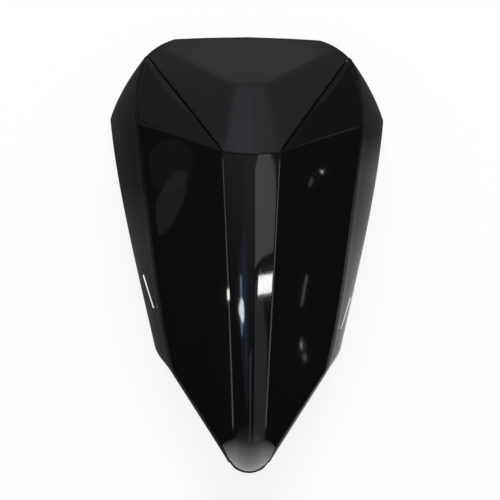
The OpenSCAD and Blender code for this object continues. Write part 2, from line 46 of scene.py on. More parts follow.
# sizes of the moulded pieces, in mm, as in the part's source
cowl = dict(
    length=400.0, width=253.4, crestHeight=112.0, crestBack=145.0, tailHeight=23.0, tailEdge=9.0,
    spineTail=12.6, spineCrest=24.3, wall=2.8, sideRound=7.0, rimArch=2.4, edgeRound=1.8,
    padWall=3.0, seamGap=0.8, ledgeWidth=12.0, ledgeWall=2.5, padPeak=86.0, padRound=4.0,
    cornerStart=0.26, frontZ=19.0, crown=0.3, padLip=1.3, tailBend=24.0, tailDip=5.0,
    tailInset=0.6, tailSlope=25, crestSlope=10, crestBow=2.4, flankFall=0.34, flankCurve=0.001)

halfL = cowl["length"] / 2
halfW = cowl["width"] / 2
crestY = halfL - cowl["crestBack"]
rise = cowl["crestHeight"] - cowl["tailHeight"]
run = crestY + halfL - cowl["tailInset"]
tailPull = math.tan(math.radians(cowl["tailSlope"])) * run / (3 * rise)
crestPull = 1 - math.tan(math.radians(cowl["crestSlope"])) * run / (3 * rise)
cornerStart = cowl["cornerStart"]
smoothAngle = 32  # edges steeper than this, in degrees, are sharp


def vec(*p):
    return np.array(p, float)


def mix(a, b, t):
    return a + (b - a) * t


def unit(v):
    return v / np.linalg.norm(v)


def bez(a, b, c, d, t):
    return a * (1 - t) ** 3 + 3 * b * t * (1 - t) ** 2 + 3 * c * t * t * (1 - t) + d * t ** 3


def soft(a, b, c, t):
    return a * (1 - t) ** 2 + 2 * b * t * (1 - t) + c * t * t


def eased(curve, t, corner, reach):
    # a curve with a kink at one place runs round it in an arc
    if abs(t - corner) >= reach:
        return curve(t)
    return soft(curve(corner - reach), curve(corner), curve(corner + reach), (t - corner + reach) / (2 * reach))


def spine(u):
    dip = max(0, 1 - run * u / cowl["tailBend"]) ** 2 * cowl["tailDip"]
    height = cowl["tailHeight"] + rise * bez(0, tailPull, crestPull, 1, u) - dip
    return vec(0, run * u - halfL + cowl["tailInset"], height)


# the spine's edge lies ahead of its middle and below it, by two lengths that change towards the crest
spineSide = dict(ahead=4, aheadLoss=0.5, below=1, belowGain=2.4, widening=1.25)


def spineEdge(u):
    s = spine(u)
    return vec(mix(cowl["spineTail"], cowl["spineCrest"], max(u, 0) ** spineSide["widening"]),
               s[1] + spineSide["ahead"] - spineSide["aheadLoss"] * u,
               s[2] - spineSide["below"] - spineSide["belowGain"] * u)


def onFlank(p):
    # puts a point at the flank's height under the spine's edge
    e = spineEdge((p[1] + halfL - cowl["tailInset"] - spineSide["ahead"]) / (run - spineSide["aheadLoss"]))
    d = p[0] - e[0]
    return vec(p[0], p[1], e[2] - cowl["flankFall"] * d - cowl["flankCurve"] * d * d)


# corners of the right half: A, B, C go round the wing, D is the pad's peak, Vee is the flank's rear corner
ptA = vec(cowl["spineCrest"], crestY + 3.5, cowl["crestHeight"] - 3.4)
ptB = onFlank(vec(halfW - 28.2, crestY + 37))
ptC = vec(halfW * 0.718, halfL - 29, 36)
ptD = vec(13.8, crestY + 72, cowl["padPeak"])
ptLow = vec(halfW * 0.645, 107 - halfL, 0)
ptShoulder = vec(halfW + 0.1, crestY + 70, 0)
ptTail = vec(cowl["spineTail"] + 4.4, 10 - halfL)
ptVee = vec(halfW * 0.538, 88 - halfL)
# how far along the outline its kinks are rounded, and the share of it that runs from the tail rim to the side rim
eases = dict(crease=0.022, rim=0.02, lowShare=0.07)


def creasePlan(u):
    if u <= cornerStart:
        return mix(ptTail, ptVee, u / cornerStart)
    t = (u - cornerStart) / (1 - cornerStart)
    return bez(ptVee, ptVee + vec(12.3, 46), ptB[:2] - vec(10, 72), ptB[:2], t)


def crease(u):
    return onFlank(eased(creasePlan, u, cornerStart, eases["crease"]))


def tailRim(u):
    return crease(u) + vec(0.8, -0.6, -cowl["tailEdge"])


def sideRim(t):
    return bez(ptLow, ptLow + vec(16.3, 69, 0), ptShoulder - vec(7.7, 70, 0), ptShoulder, t) \
        + vec(0, 0, cowl["rimArch"] * 4 * t * (1 - t))


def rimPlain(u):
    if u <= cornerStart:
        return tailRim(u)
    t = (u - cornerStart) / (1 - cornerStart)
    if t < lowShare:
        return mix(tailRim(cornerStart), ptLow, t / lowShare)
    return sideRim((t - lowShare) / (1 - lowShare))


lowShare = eases["lowShare"]
lowStart = cornerStart + lowShare * (1 - cornerStart)


def rim(u):
    corner = cornerStart if abs(u - cornerStart) < eases["rim"] else lowStart
    return eased(rimPlain, u, corner, eases["rim"])


def seam(v):
    return mix(ptA, ptC, v)


def wingCrease(v):
    return bez(ptB, ptB + vec(1, 26, -12), ptC + vec(10.5, -19, 14), ptC + vec(3, 1.5, -1), v)


def wingRim(v):
    return bez(ptShoulder, ptShoulder + vec(-5.7, 18, 4), ptC + vec(19, -11, -20), ptC + vec(2, 7, -12), v)


# how finely a half section is cut: spine, its edge, flank, crease, side wall
cuts = dict(spine=12, edge=6, flank=26, crease=12, side=14)
# a rounding takes no more than these shares of the face beside it; the belly and the bow are shares of a face's width
shares = dict(edge=0.15, crease=0.3, wall=0.35, belly=0.02, bow=0.04)


def outerPart(e, k, r, main):
    # from the spine's or seam's edge over the crease to the rim; main is the part behind the crest
    settle = onFlank if main else (lambda p: p)
    dk = unit(k - e)
    flank, wall = np.linalg.norm(k - e), np.linalg.norm(r - k)
    e2 = settle(e + dk * min(cowl["edgeRound"], shares["edge"] * flank))
    rk = min(cowl["sideRound"], shares["crease"] * flank, shares["wall"] * wall)
    k0 = settle(k - dk * rk)
    k2 = k + unit(r - k) * rk
    belly = vec(0, 0, 0 if main else shares["belly"] * np.linalg.norm(k0 - e2))
    bow = vec(shares["bow"] * np.linalg.norm(r - k2), 0, 0)
    pts = [settle(mix(e2, k0, t) + belly * 4 * t * (1 - t)) for t in np.linspace(0, 1, cuts["flank"] + 1)]
    pts += [soft(k0, k, k2, t) for t in np.linspace(0, 1, cuts["crease"] + 1)[1:]]
    pts += [mix(k2, r, t) + bow * 4 * t * (1 - t) for t in np.linspace(0, 1, cuts["side"] + 1)[1:]]
    return pts


def crowned(s, e, t):
    # across the spine: two nearly flat halves with a soft middle
    k = cowl["crown"]
    fall = (math.sqrt(t * t + k * k) - k) / (math.sqrt(1 + k * k) - k)
    return mix(s, e, t) + vec(0, 0, (s[2] - e[2]) * (t - fall))


def mainSection(u):
    s, e = spine(u), spineEdge(u)
    outer = outerPart(e, crease(u), rim(u), True)
    reach = 1 - cowl["edgeRound"] / np.linalg.norm(s - e)
    blunt = max(0, 1 - run * u / cowl["tailBend"]) * (e[1] - s[1])  # the tail's end is round in plan
    top = [crowned(s, e, t) + vec(0, blunt * t * (t - 1), 0) for t in reach * np.linspace(0, 1, cuts["spine"] + 1)]
    e0 = top[-1]
    bend = [soft(e0, e, outer[0], t) for t in np.linspace(0, 1, cuts["edge"] + 1)[1:-1]]
    return np.array(top + bend + outer)


seamCol = cuts["spine"] + cuts["edge"] // 2  # the column that lies on the spine's edge
cols = cuts["spine"] + cuts["edge"] + cuts["flank"] + cuts["crease"] + cuts["side"]


def crestLine(t):
    return crowned(spine(1), ptA, t) - vec(0, cowl["crestBow"] * t * (1 - t), 0)


def crestSection():
    corner = 0.93  # the last columns of the crest line lie close together from here
    line = [crestLine(t) for t in np.linspace(0, corner, cuts["spine"] + 1)]
    line += [crestLine(t) for t in np.linspace(corner, 1, seamCol - cuts["spine"] + 1)[1:]]
    outer = outerPart(ptA, ptB, ptShoulder, True)
    bend = [soft(ptA, ptA, outer[0], t) for t in np.linspace(0, 1, seamCol - cuts["spine"] + 1)[1:-1]]
    return np.array(line + bend + outer)


def wingSection(v):
    s = seam(v)
    outer = outerPart(s, wingCrease(v), wingRim(v), False)
    bend = [mix(s, outer[0], t) for t in np.linspace(0, 1, cuts["edge"] // 2 + 1)[1:-1]]
    return np.array([s] + bend + outer)


def dipped(row, u):
    # towards the crest the spine's rows take the crest line's bow, as seen from above
    t = row[:seamCol + 1, 0] / ptA[0]
    share = 0.04  # of the spine's run
    row[:seamCol + 1, 1] -= cowl["crestBow"] * t * (1 - t) * max(0, (u - (1 - share)) / share) ** 2
    return row


# where the rows leave the rolled tail edge, where they begin and end their blend into the wings, how many there are,
# and how many mm from the seam the blend comes in
rowCuts = dict(first=0.016, uBlend=0.993, vBlend=0.012, edge=9, main=156, blend=7, wing=56, settle=3)
# the tail's end wall goes down from the skin's edge to a level lower edge, which fades out along the side wall
tailWall = dict(out=0.6, fade=0.48, shift=(0.32, -0.12, 0), middle=0.4, rimPull=0.6)


def shellRows():
    first, uBlend, vBlend, steps = (rowCuts[key] for key in ("first", "uBlend", "vBlend", "blend"))
    edge = mainSection(0)
    firstRow = mainSection(first)
    z = edge[cols][2]
    last = cols - cuts["side"]
    low = edge.copy()
    for j in range(cols + 1):
        t = max(0, (j - last) / (cols - last))
        flat = vec(edge[min(j, last)][0], edge[min(j, last)][1] - tailWall["out"], z)
        low[j] = mix(flat, edge[cols], tailWall["fade"] * t) + vec(*tailWall["shift"]) * t
    mid = mix(edge, low, tailWall["middle"])
    rows = [mix(mid, low, t) for t in (1, 0.6, 0.25)]
    rows += [soft(mid, edge, firstRow, t) for t in np.linspace(0, 1, rowCuts["edge"])]
    for row in rows[3:]:
        row[cols] = mix(row[cols], edge[cols], tailWall["rimPull"])
    rows += [dipped(mainSection(u), u) for u in np.linspace(first, uBlend, rowCuts["main"])[1:]]
    crest = crestSection()
    before = dipped(mainSection(uBlend), uBlend)
    after = crest.copy()
    after[seamCol:] = wingSection(vBlend)
    reach = np.linalg.norm(crest - crest[seamCol], axis=1)
    weight = np.clip(reach / rowCuts["settle"], 0, 1)
    weight[:seamCol + 1] = 0
    for k in range(1, steps + 1):
        t = k / steps
        u = mix(uBlend, 1, t)
        sharp = dipped(mainSection(u), u) if k < steps else crest
        if k < steps:
            sharp[:seamCol + 1] = mix(sharp[:seamCol + 1], crest[:seamCol + 1], t ** 3)
        rows.append(mix(sharp, soft(before, crest, after, t / 2), weight[:, None]))
    nearV, farV = np.linspace(0, vBlend, steps + 1)[1:], np.linspace(vBlend, 1, rowCuts["wing"])[1:]
    wings = []
    for k, v in enumerate(nearV):
        t = 0.5 + 0.5 * (k + 1) / steps
        arc = soft(before, crest, after, t)[seamCol:]
        wings.append(mix(wingSection(v), arc, weight[seamCol:, None]))
    wings += [wingSection(v) for v in farV]
    return rows, wings, list(nearV) + list(farV)


rows, wings, wingV = shellRows()
crestRow = len(rows) - 1
lastRow = crestRow + len(wings)
print("shell rows", len(rows), len(wings), "columns", cols)


def flip(p):
    return vec(-p[0], p[1], p[2])


peakAt = 0.45  # where along the pad its peak lies, from the crest to the front


def overPeak(start, top, end, v):
    return mix(start, top, v / peakAt) if v <= peakAt else mix(top, end, (v - peakAt) / (1 - peakAt))


def padCentre(v):
    return overPeak(spine(1), vec(0, ptD[1] + 0.8, cowl["padPeak"] + 0.8), vec(0, halfL - 4.5, cowl["frontZ"] + 7), v)


def padRidge(v):
    return overPeak(ptA - vec(1.6, 0, 0), ptD, vec(halfW * 0.618, halfL - 17, cowl["frontZ"] + 12), v)


seamDir = unit(ptC - ptA)


sideStart = 0.12  # nearer the crest the pad's side facet is too narrow to take a direction from


def sideIn(v):
    v = max(v, sideStart)
    w = padRidge(v) - seam(v)
    return unit(w - seamDir * w.dot(seamDir))


def sideUp(v):
    n = unit(np.cross(seamDir, sideIn(v)))
    return -n if n[2] < 0 else n


ledgeDrop = cowl["padWall"] + 0.8  # from the skin to the ledge under the pad's edge
crestIn = unit(padCentre(peakAt) - padCentre(0))
crestUp = unit(np.cross(vec(1, 0, 0), crestIn))
ridgeIn = unit(ptD - ptA)
ridgeUp = unit(crestUp + sideUp(sideStart))


def shellPoint(i, j):
    q = abs(j)
    p = rows[i][q] if i <= crestRow else wings[i - crestRow - 1][q - seamCol]
    return flip(p) if j < 0 else p


def onGrid(i, j):
    return 0 <= i <= lastRow and abs(j) <= cols and (i <= crestRow or abs(j) >= seamCol)


def near(i, j, di, dj):
    return shellPoint(i + di, j + dj) if onGrid(i + di, j + dj) else shellPoint(i, j)


def shellNormal(i, j):
    if abs(j) == cols or i == 0:  # at the rim the inner side is set off level
        if i == 0:
            w = (shellPoint(1, j) if j == cols else shellPoint(0, j + 1)) \
                - (shellPoint(1, j) if j == -cols else shellPoint(0, j - 1))
        else:
            w = np.sign(j) * (near(i, j, 1, 0) - near(i, j, -1, 0))
        return unit(vec(w[1], -w[0], 0))
    return unit(np.cross(near(i, j, 0, 1) - near(i, j, 0, -1), near(i, j, 1, 0) - near(i, j, -1, 0)))


def ledgePoints(i, j):
    # the ledge is full width along the crest and the wings, and half as wide at the corner between them
    width = cowl["ledgeWidth"]
    if i > crestRow:
        v = wingV[i - crestRow - 1]
        inward, up, reach = sideIn(v), sideUp(v), max(min(width, width * 0.45 * v / 0.06), 0.5 * width)
    elif abs(j) == seamCol:
        inward, up, reach = ridgeIn, ridgeUp, 0.5 * width
    else:
        inward, up, reach = crestIn, crestUp, width
    if j < 0:
        inward, up = flip(inward), flip(up)
    foot = shellPoint(i, j) - up * ledgeDrop
    tip = foot + inward * reach
    return [foot, tip, tip - up * cowl["ledgeWall"]]


def shellSkin():
    grid = [(i, j) for i in range(crestRow + 1) for j in range(-cols, cols + 1)]
    grid += [(i, s * j) for s in (1, -1) for i in range(crestRow + 1, lastRow + 1) for j in range(seamCol, cols + 1)]
    number = {g: k for k, g in enumerate(grid)}
    n = len(grid)
    outer = [shellPoint(i, j) for i, j in grid]

    def depth(i, j):
        seamHere = (i == crestRow and abs(j) <= seamCol) or (i > crestRow and abs(j) == seamCol)
        return ledgeDrop + cowl["ledgeWall"] if seamHere else cowl["wall"]

    inner = [p - shellNormal(i, j) * depth(i, j) for p, (i, j) in zip(outer, grid)]
    path = [(i, seamCol) for i in range(lastRow, crestRow - 1, -1)]
    path += [(crestRow, j) for j in range(seamCol - 1, -seamCol - 1, -1)]
    path += [(i, -seamCol) for i in range(crestRow + 1, lastRow + 1)]
    ledge = [p for i, j in path for p in ledgePoints(i, j)]
    faces = []
    for i in range(lastRow):
        for j in range(-cols, cols):
            if i < crestRow or j >= seamCol or j < -seamCol:
                a, b, c, d = (number[g] for g in ((i, j), (i, j + 1), (i + 1, j + 1), (i + 1, j)))
                faces += [(a, b, c, d), (d + n, c + n, b + n, a + n)]
    edge = [(lastRow, j) for j in range(-seamCol, -cols - 1, -1)]
    edge += [(i, -cols) for i in range(lastRow - 1, -1, -1)]
    edge += [(0, j) for j in range(1 - cols, cols + 1)] + [(i, cols) for i in range(1, lastRow + 1)]
    edge += [(lastRow, j) for j in range(cols - 1, seamCol - 1, -1)]
    for p, q in zip(edge, edge[1:]):
        a, b = number[p], number[q]
        faces.append((a, a + n, b + n, b))

    def chain(k):
        o = number[path[k]]
        return [o, 2 * n + 3 * k, 2 * n + 3 * k + 1, 2 * n + 3 * k + 2, o + n]

    for k in range(len(path) - 1):
        a, b = chain(k), chain(k + 1)
        faces += [(a[m], a[m + 1], b[m + 1], b[m]) for m in range(4)]
    faces += [tuple(reversed(chain(0))), tuple(chain(len(path) - 1))]
    return outer + inner + ledge, faces


def meshObject(name, points, faces, scale=0.001):
    data = bpy.data.meshes.new(name)
    data.from_pydata([tuple(p * scale) for p in np.asarray(points)], [], faces)
    data.validate()
    data.update()
    obj = bpy.data.objects.new(name, data)
    bpy.context.scene.collection.objects.link(obj)
    return obj


def rightWay(obj):
    # faces turned outward
    bpy.context.view_layer.objects.active = obj
    for o in bpy.context.selected_objects:
        o.select_set(False)
    obj.select_set(True)
    bpy.ops.object.mode_set(mode="EDIT")
    bpy.ops.mesh.select_all(action="SELECT")
    bpy.ops.mesh.normals_make_consistent(inside=False)
    bpy.ops.object.mode_set(mode="OBJECT")


def smoothed(obj, angle):
    obj.data.shade_smooth()
    obj.data.set_sharp_from_angle(angle=math.radians(angle))


def tube(cx, cy, z0, topAt, radius, bore=0.0, boreDepth=0.0, n=48):
    # a round boss whose upper end follows the skin above it; the bore is blind
    turns = [2 * math.pi * k / n for k in range(n)]
    ring = [(cx + radius * math.cos(a), cy + radius * math.sin(a)) for a in turns]
    hole = [(cx + bore * math.cos(a), cy + bore * math.sin(a)) for a in turns]
    pts = [vec(x, y, z0) for x, y in ring] + [vec(x, y, topAt(x, y)) for x, y in ring]
    faces = [(k, (k + 1) % n, n + (k + 1) % n, n + k) for k in range(n)]
    pts.append(vec(cx, cy, topAt(cx, cy)))
    faces += [(n + k, n + (k + 1) % n, 2 * n) for k in range(n)]
    if bore:
        base = len(pts)
        pts += [vec(x, y, z0) for x, y in hole] + [vec(x, y, z0 + boreDepth) for x, y in hole]
        faces += [((k + 1) % n, k, base + k, base + (k + 1) % n) for k in range(n)]
        faces += [(base + (k + 1) % n, base + k, base + n + k, base + n + (k + 1) % n) for k in range(n)]
        faces.append(tuple(base + n + k for k in reversed(range(n))))
    else:
        faces.append(tuple(reversed(range(n))))
    return pts, faces


def wallPiece(x0, y0, x1, y1, z0, topAt, thick, n=16):
    # a straight rib from one point to the other; its upper edge follows the skin above it
    way = unit(vec(x1 - x0, y1 - y0))
    off = vec(-way[1], way[0]) * thick / 2
    pts, faces = [], []
    for k in range(n + 1):
        p = mix(vec(x0, y0), vec(x1, y1), k / n)
        for s in (-1, 1):
            x, y = p + s * off
            pts += [vec(x, y, z0), vec(x, y, topAt(x, y))]
    for k in range(n):
        a, b = 4 * k, 4 * (k + 1)
        faces += [(a, b, b + 1, a + 1), (a + 2, a + 3, b + 3, b + 2),
                  (a + 1, b + 1, b + 3, a + 3), (a, a + 2, b + 2, b)]
    faces += [(0, 1, 3, 2), (4 * n, 4 * n + 2, 4 * n + 3, 4 * n + 1)]
    return pts, faces


def heightUnder(points, faces, drop):
    # the height of a skin over a place, less a drop
    tree = BVHTree.FromPolygons([Vector(p) for p in points], faces)

    def topAt(x, y):
        hit = tree.ray_cast(Vector((x, y, 300)), Vector((0, 0, -1)))
        return (hit[0].z if hit[0] else 40) - drop
    return topAt


def joined(parts):
    pts, faces = [], []
    for p, f in parts:
        base = len(pts)
        pts += list(p)
        faces += [tuple(base + k for k in face) for face in f]
    return pts, faces


# places of what stands inside, in mm
inside = dict(
    bracketAcross=76.0, bracketAlong=48.0, bracketHeight=60.0, tongueHeight=24.0, bufferSeat=34.0,
    insertD=8.0, bossWall=7.0, boreDepth=12, bufferR=7, bufferBore=4, rib=2.2, bracketRib=12,
    rearLug=(13.0, 79.0, 87.0), frontLug=(54.0, 147.0, 43.0), lugPlate=3.0, lugRib=2, lugGap=0.9,
    post=9.0, postBore=11, screw=4.0, screwPlay=0.3, grip=0.55)
latchY = crestY - 7 - inside["bracketAlong"] / 2
tongueY = 96 - halfL
bracketSpots = [(x * inside["bracketAcross"] / 2, latchY + y * inside["bracketAlong"] / 2)
                for x in (-1, 1) for y in (-1, 1)]
tongueSpots = [(0, tongueY - 10), (0, tongueY - 34)]
bufferFront, bufferRear = (78, crestY + 13), (58, crestY - 117)
bufferSpots = [(s * x, y) for x, y in (bufferFront, bufferRear) for s in (-1, 1)]
lugSpots = [(s * p[0], p[1], p[2]) for p in (inside["rearLug"], inside["frontLug"]) for s in (-1, 1)]


def buildShell():
    points, faces = shellSkin()
    topAt = heightUnder(points, faces, cowl["wall"] * inside["grip"])
    bossR, insertR = (inside["insertD"] + inside["bossWall"]) / 2, inside["insertD"] / 2
    parts = [(points, faces)]
    for spots, height, radius, bore in ((bracketSpots, inside["bracketHeight"], bossR, insertR),
                                        (tongueSpots, inside["tongueHeight"], bossR, insertR),
                                        (bufferSpots, inside["bufferSeat"], inside["bufferR"], inside["bufferBore"])):
        parts += [tube(x, y, height, topAt, radius, bore, inside["boreDepth"]) for x, y in spots]
    half, along = inside["bracketAcross"] / 2, inside["bracketAlong"] / 2
    (frontX, frontY), (rearX, rearY) = bufferFront, bufferRear
    plate, rib = inside["bracketHeight"], inside["rib"]
    for s in (-1, 1):
        crossY = latchY + s * along
        parts.append(wallPiece(-half, crossY, half, crossY, plate + inside["bracketRib"] + 4 * s, topAt, rib, 24))
        parts.append(wallPiece(s * half, latchY - along, s * half, latchY + along, plate + 10, topAt, rib))
        parts.append(wallPiece(s * rearX, rearY, s * (rearX + 15), rearY, 44, topAt, rib, 6))
        parts.append(wallPiece(s * frontX, frontY, s * (frontX + 12), frontY, 56, topAt, rib, 6))
    parts.append(wallPiece(0, tongueSpots[1][1], 0, tongueY - 2, inside["tongueHeight"] + 13, topAt, rib, 8))
    return joined(parts)


padCols = dict(centre=22, ridge=10, side=16)
# the lip at the pad's edge: how far in from the edge each line lies and how much of the lip's height it drops
lipSteps = ((0.0, 1.0), (0.3, 0.42), (0.75, 0.1), (1.3, 0.0))


def padSection(v):
    c, g = padCentre(v), padRidge(v)
    s = seam(v) + sideIn(v) * cowl["seamGap"]
    r = min(cowl["padRound"], 0.3 * np.linalg.norm(g - c), 0.3 * np.linalg.norm(s - g))
    g0, g2 = g + unit(c - g) * r, g + unit(s - g) * r
    fade = max(0, 1 - v / 0.30) ** 2  # near the crest the pad is crowned like the spine
    pts = [mix(mix(c, g0, t), crowned(c, g0, t), fade) for t in np.linspace(0, 1, padCols["centre"] + 1)]
    pts += [soft(g0, g, g2, t) for t in np.linspace(0, 1, padCols["ridge"] + 1)[1:]]
    pts += [mix(g2, s, t) for t in sideSteps(np.linalg.norm(g2 - s))]
    for k, (_, drop) in enumerate(lipSteps[:3]):
        pts[-1 - k] = pts[-1 - k] - sideUp(v) * cowl["padLip"] * drop
    return np.array(pts)


def sideSteps(width):
    # even steps, with the last three close to the seam for the lip
    lip = min(0.25, 1.2 / width)
    even = list(np.linspace(0, 1 - lip, padCols["side"] - 2)[1:])
    return even + [1 - lip * 0.6, 1 - lip * 0.25, 1.0]


def padEdgeParam():
    # where each column of the pad's grid lies along the crest line
    t = list(np.linspace(0, 0.9, padCols["centre"] + 1))
    t += list(np.linspace(0.9, 0.97, padCols["ridge"] + 1)[1:])
    return t + list(np.linspace(0.97, 1, padCols["side"] + 1)[1:])


def lowEdge():
    c = vec(0, halfL + 1.18, cowl["frontZ"])
    f = vec(halfW * 0.528, halfL - 0.6, cowl["frontZ"] + 1)
    s = ptC + vec(2.6, 9.0, -11)
    pts = [mix(c, f, t) + vec(0, 2.8 * t * (1 - t), 0) for t in np.linspace(0, 1, padCols["centre"] + 1)]
    n = padCols["ridge"] + padCols["side"]
    pts += [mix(f, s, t) + vec(7, 6, 0) * t * (1 - t) for t in np.linspace(0, 1, n + 1)[1:]]
    return np.array(pts)


def padRows():
    # half the pad's rows from the crest to the turned-under front, each with its place on the seam if it has one
    edge = padEdgeParam()
    inward = np.array([crestIn] * (len(edge) - 1) + [ridgeIn * 1.2])
    line = np.array([crestLine(t) for t in edge])
    reach = 0.03
    start, end = peakAt - reach, peakAt + reach
    grid, vs = [], []
    for inset, drop in lipSteps:
        grid.append(line + inward * (cowl["seamGap"] + inset) - crestUp * cowl["padLip"] * drop)
        vs.append(0.0)
    for v in (*np.linspace(0.05, start, 24), *np.linspace(start, end, 9)[1:-1], *np.linspace(end, 1, 30)):
        row = padSection(v)
        if abs(v - peakAt) < reach:  # the crease at the peak is rounded, less towards the seam
            t = (v - peakAt + reach) / (2 * reach)
            arc = soft(padSection(start), padSection(peakAt), padSection(end), t)
            keep = np.clip((len(row) - 1 - np.arange(len(row))) / padCols["side"], 0, 1)
            row = mix(row, arc, keep[:, None])
        grid.append(row)
        vs.append(v)
    low = lowEdge()
    under = low + np.array([[-p[0] * 0.004, -1.5, -6] for p in low])
    front = padSection(1)
    for t in np.linspace(0, 1, 13)[1:]:
        grid.append(soft(front, low, under, t))
        vs.append(None)
    return grid, vs


def buildPad():
    half, vs = padRows()
    grid = np.array([np.vstack([row[:0:-1] * vec(-1, 1, 1), row]) for row in half])
    h, w = grid.shape[:2]
    down = np.gradient(grid, axis=0)
    across = np.gradient(grid, axis=1)
    normal = np.cross(across, down)
    normal /= np.linalg.norm(normal, axis=2)[:, :, None]
    lower = grid.copy()
    for i in range(h):
        for j in range(w):
            nrm = normal[i, j]
            if i == h - 1:
                nrm = unit(vec(nrm[0], nrm[1], 0))
            if i < len(lipSteps):
                nrm = crestUp if 0 < j < w - 1 else (ridgeUp if j else flip(ridgeUp))
            elif j in (0, w - 1) and vs[i] is not None:
                nrm = sideUp(vs[i])
                nrm = nrm if j else flip(nrm)
            lower[i, j] = grid[i, j] - nrm * cowl["padWall"]
    points = list(grid.reshape(-1, 3)) + list(lower.reshape(-1, 3))
    m = h * w
    faces = []
    for i in range(h - 1):
        for j in range(w - 1):
            a, b, c, d = i * w + j, i * w + j + 1, (i + 1) * w + j + 1, (i + 1) * w + j
            faces += [(a, b, c, d), (d + m, c + m, b + m, a + m)]
    loop = list(range(w)) + [i * w + w - 1 for i in range(1, h)]
    loop += [(h - 1) * w + j for j in range(w - 2, -1, -1)] + [i * w for i in range(h - 2, 0, -1)]
    for a, b in zip(loop, loop[1:] + loop[:1]):
        faces.append((a, a + m, b + m, b))
    topAt = heightUnder(points, faces, cowl["padWall"] * inside["grip"])
    posts = [tube(x, y, z, topAt, inside["post"] / 2, inside["screw"] / 2, inside["postBore"])
             for x, y, z in lugSpots]
    return joined([(points, faces)] + posts)


def drilled(x0, y0, x1, y1, z0, z1, cx, cy, radius, n=32):
    # a lug plate with the screw's hole through it
    ring, border = [], []
    for k in range(n):
        a = 2 * math.pi * k / n
        dx, dy = math.cos(a), math.sin(a)
        reach = min(((x1 if dx > 0 else x0) - cx) / dx if abs(dx) > 1e-6 else 1e9,
                    ((y1 if dy > 0 else y0) - cy) / dy if abs(dy) > 1e-6 else 1e9)
        ring.append((cx + radius * dx, cy + radius * dy))
        border.append((cx + reach * dx, cy + reach * dy))
    pts = [vec(x, y, z) for z in (z0, z1) for x, y in ring + border]
    faces = []
    for k in range(n):
        q = (k + 1) % n
        faces += [(k, q, n + q, n + k), (2 * n + q, 2 * n + k, 3 * n + k, 3 * n + q),
                  (n + k, n + q, 3 * n + q, 3 * n + k), (q, k, 2 * n + k, 2 * n + q)]
    return pts, faces


def lugParts(topAt):
    # the shell's four screw lugs, which stand under the pad, each with two ribs
    parts = []
    rx, ry, rz = inside["rearLug"]
    fx, fy, fz = inside["frontLug"]
    t = inside["lugPlate"]
    hole = inside["screw"] / 2 + inside["screwPlay"]
    rib = inside["lugRib"]
    for s in (-1, 1):
        x0, x1 = sorted((s * (rx - 9), s * (rx + 9)))
        parts.append(drilled(x0, crestY + 6, x1, crestY + 33, rz - t, rz, s * rx, ry, hole))
        for x in (rx - 7.7, rx + 7.6):
            parts.append(wallPiece(s * x, crestY + 4.2, s * x, crestY + 18.2, rz - t, topAt, rib, 8))
        x0, x1 = sorted((s * (fx - 8), s * (fx + 22)))
        parts.append(drilled(x0, fy - 10, x1, fy + 10, fz - t, fz, s * fx, fy, hole))
        for y in (-9, 9):
            parts.append(wallPiece(s * (fx + 8), fy + y, s * (fx + 27), fy + y, fz - t, topAt, rib, 10))
    return joined(parts)


padPoints, padFaces = buildPad()
padObj = meshObject("bumstop_cover", padPoints, padFaces)
rightWay(padObj)
smoothed(padObj, smoothAngle)
print("pad built", len(padFaces))

shellPoints, shellFaces = buildShell()
lugTop = heightUnder(padPoints, padFaces, cowl["padWall"] + inside["lugGap"])
shellPoints, shellFaces = joined([(shellPoints, shellFaces), lugParts(lugTop)])
shellObj = meshObject("gloss_cowl", shellPoints, shellFaces)
rightWay(shellObj)
smoothed(shellObj, smoothAngle)
print("shell built", len(shellFaces))

for obj, node, slot in ((shellObj, "cowl_shell", "gloss_shell"), (padObj, "bumstop_pad", "satin_pad")):
    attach(obj, "root")
    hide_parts(node)


# shader node groups: fine grain, slow patches, dust
def group(name, inputs, outputs):
    g = bpy.data.node_groups.new(name, "ShaderNodeTree")
    for label, kind, start in inputs:
        g.interface.new_socket(name=label, in_out="INPUT", socket_type=kind).default_value = start
    for label, kind in outputs:
        g.interface.new_socket(name=label, in_out="OUTPUT", socket_type=kind)
    return g, g.nodes.new("NodeGroupInput"), g.nodes.new("NodeGroupOutput")


def add(tree, kind, **settings):
    node = tree.nodes.new(kind)
    for key, setting in settings.items():
        if key in node.inputs:
            node.inputs[key].default_value = setting
        else:
            setattr(node, key, setting)
    return node


def wire(tree, *pairs):
    for source, target in pairs:
        tree.links.new(source, target)


value = "NodeSocketFloat"


def grainGroup():
    # the height of a fine leather-like or spark-eroded grain, 0 to 1
    g, gin, gout = group("fineGrain", [("Scale", value, 900.0), ("Softness", value, 0.5)], [("Height", value)])
    coord = add(g, "ShaderNodeTexCoord")
    cells = add(g, "ShaderNodeTexVoronoi", feature="SMOOTH_F1")
    cells.inputs["Smoothness"].default_value = 0.4
    noise = add(g, "ShaderNodeTexNoise", Detail=3.0)
    double = add(g, "ShaderNodeMath", operation="MULTIPLY")
    double.inputs[1].default_value = 2.2
    blend = add(g, "ShaderNodeMix", data_type="FLOAT")
    wire(g, (coord.outputs["Object"], cells.inputs["Vector"]),
         (coord.outputs["Object"], noise.inputs["Vector"]),
         (gin.outputs["Scale"], cells.inputs["Scale"]),
         (gin.outputs["Scale"], double.inputs[0]),
         (double.outputs[0], noise.inputs["Scale"]),
         (gin.outputs["Softness"], blend.inputs["Factor"]),
         (cells.outputs["Distance"], blend.inputs["A"]),
         (noise.outputs["Fac"], blend.inputs["B"]),
         (blend.outputs["Result"], gout.inputs["Height"]))
    return g


